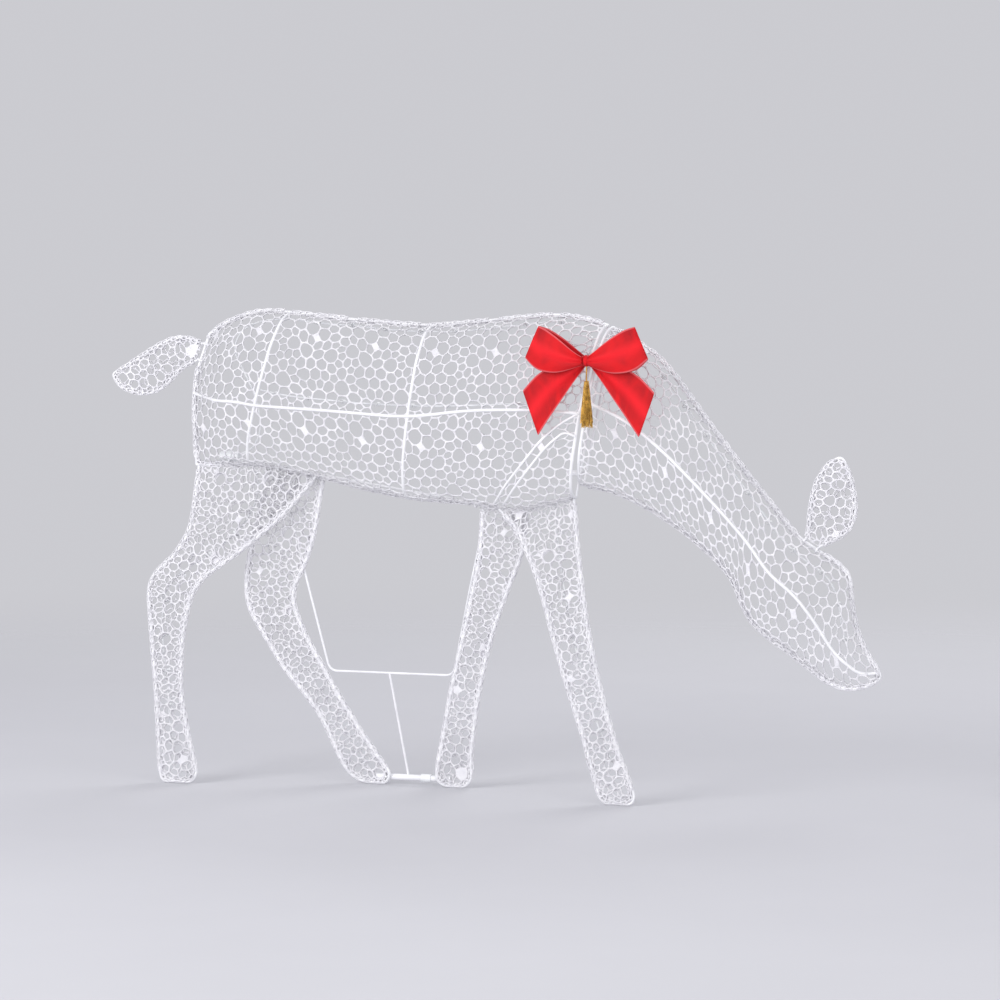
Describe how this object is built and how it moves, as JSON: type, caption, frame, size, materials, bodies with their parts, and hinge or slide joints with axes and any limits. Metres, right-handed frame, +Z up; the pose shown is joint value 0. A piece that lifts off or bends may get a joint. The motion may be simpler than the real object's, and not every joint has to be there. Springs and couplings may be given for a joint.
{
  "type": "light up yard reindeer",
  "caption": "Grazing doe yard decoration in white netted wire with a pull-off neck section, folding rear stand, string lights and a red bow.",
  "frame": {"origin": "on the ground, under the middle of the deer's box", "axes": "+X from tail to nose, +Y towards the open back and the stand, +Z up"},
  "size_m": [1.1646, 0.1433, 0.6896],
  "materials": {
    "white_wire": "white powder coat on bent steel wire",
    "white_net": "moulded white net with rounded cells",
    "white_fitting": "white moulded plastic",
    "white_cord": "white cord jacket",
    "clear_lens": "clear moulded lamp lens",
    "contact_metal": "plated contact",
    "red_ribbon": "red velvet and satin ribbon",
    "tie_metal": "coated twist tie",
    "gold_thread": "gold metallic thread"
  },
  "bodies": {
    "body_frame": {"spine_wire": "white_wire", "rump_wire": "white_wire", "belly_wire": "white_wire", "rear_hoop": "white_wire", "middle_hoop": "white_wire", "shoulder_hoop": "white_wire", "body_ridge_wire": "white_wire", "shoulder_back_bar": "white_wire", "neck_sockets": "white_wire", "rear_leg_wire_near": "white_wire", "front_leg_wire_near": "white_wire", "flank_net": "white_net", "rear_leg_net_near": "white_net", "front_leg_net_near": "white_net", "light_cord_body": "white_cord", "lamp_holders_body": "white_fitting", "lamp_lenses_body": "clear_lens", "string_clips": "white_fitting", "inlet_housing": "white_fitting", "inlet_contacts": "contact_metal", "inlet_strap": "white_fitting", "light_socket_body": "white_fitting", "bow_loop_rear": "red_ribbon", "bow_loop_front": "red_ribbon", "bow_tail_rear": "red_ribbon", "bow_tail_front": "red_ribbon", "bow_knot": "red_ribbon", "bow_tie_wire": "tie_metal", "shoulder_arch_wires": "white_wire", "light_cords_legs": "white_cord"},
    "neck_section": {"neck_top_wire": "white_wire", "throat_wire": "white_wire", "neck_hoop": "white_wire", "neck_ridge_wire": "white_wire", "neck_back_bar": "white_wire", "neck_pins": "white_wire", "neck_net": "white_net", "light_cord_neck": "white_cord", "lamp_holders_neck": "white_fitting", "lamp_lenses_neck": "clear_lens", "light_plug_neck": "white_fitting"},
    "tail": {"tail_wire": "white_wire", "tail_eyes": "white_wire", "tail_net": "white_net"},
    "ear": {"ear_wire": "white_wire", "ear_eyes": "white_wire", "ear_net": "white_net"},
    "rear_stand": {"stand_top_wire": "white_wire", "stand_eyes": "white_wire", "rear_leg_wire_stand": "white_wire", "front_leg_wire_stand": "white_wire", "rear_leg_net_stand": "white_net", "front_leg_net_stand": "white_net", "brace_rod": "white_wire", "brace_strut": "white_wire", "foot_tube": "white_wire", "foot_tube_collar": "white_fitting"},
    "tassel": {"tassel_cord": "gold_thread", "tassel_cap": "gold_thread", "tassel_skirt": "gold_thread"}
  },
  "joints": [
    {"name": "stand_fold", "type": "hinge", "parent": "body_frame", "child": "rear_stand", "pos_m": [-0.345, 0.0155, 0.465], "axis": [0.9889, 0, -0.1483], "range_deg": [-8, 0]},
    {"name": "neck_pull", "type": "slide", "parent": "body_frame", "child": "neck_section", "axis": [1, 0, 0], "range_m": [0, 0.04]},
    {"name": "tail_turn", "type": "hinge", "parent": "body_frame", "child": "tail", "pos_m": [-0.425, 0.0155, 0.652], "axis": [-0.3443, 0, -0.9389], "range_deg": [-60, 60]},
    {"name": "ear_tilt", "type": "hinge", "parent": "neck_section", "child": "ear", "pos_m": [0.462, 0.0155, 0.381], "axis": [0.8517, 0, -0.5241], "range_deg": [-40, 8]},
    {"name": "tassel_swing", "type": "hinge", "parent": "body_frame", "child": "tassel", "pos_m": [0.18, -0.0625, 0.61633], "axis": [0, 1, 0], "range_deg": [-35, 35]}
  ]
}
